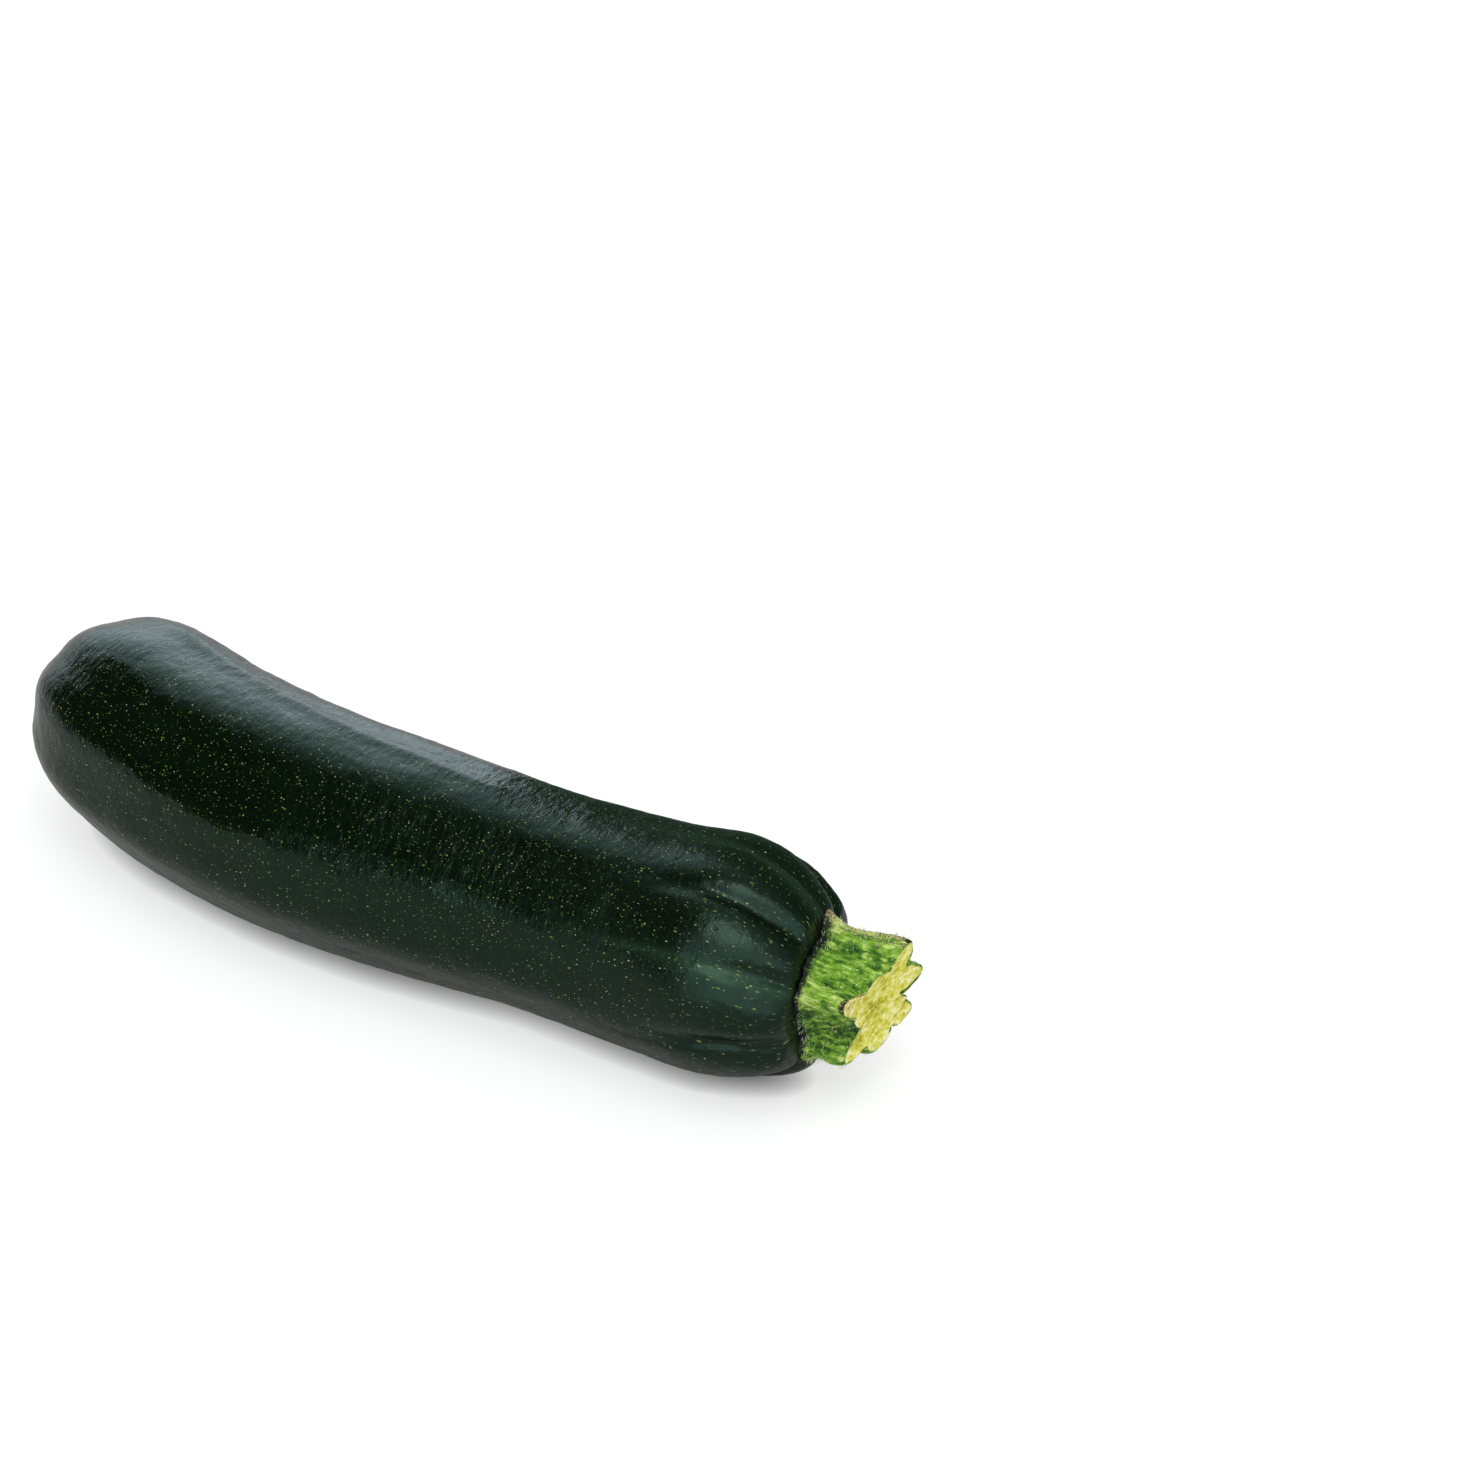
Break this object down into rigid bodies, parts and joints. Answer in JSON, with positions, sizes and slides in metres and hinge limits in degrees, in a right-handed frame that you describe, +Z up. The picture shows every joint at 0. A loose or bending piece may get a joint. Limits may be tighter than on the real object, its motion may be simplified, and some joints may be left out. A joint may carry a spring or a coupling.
{
  "type": "zucchini",
  "caption": "Whole zucchini lying on its side: a gently bent, ribbed fruit with its cut star-shaped stem and a dry blossom scar.",
  "frame": {"origin": "middle of the underside of the bounding box, on the surface that the fruit lies on", "axes": "+X along the fruit from the blossom end towards the stem, +Z up, +Y towards the inside of the bend"},
  "size_m": [0.2006, 0.0614, 0.0473],
  "materials": {
    "skin": "waxy dark green skin with fine pale flecks",
    "stem": "matt green rind, pale fibrous cut face",
    "scar": "dry tan cork"
  },
  "bodies": {
    "root": {"fruit": "skin", "stem": "stem", "blossom_scar": "scar"}
  },
  "joints": []
}
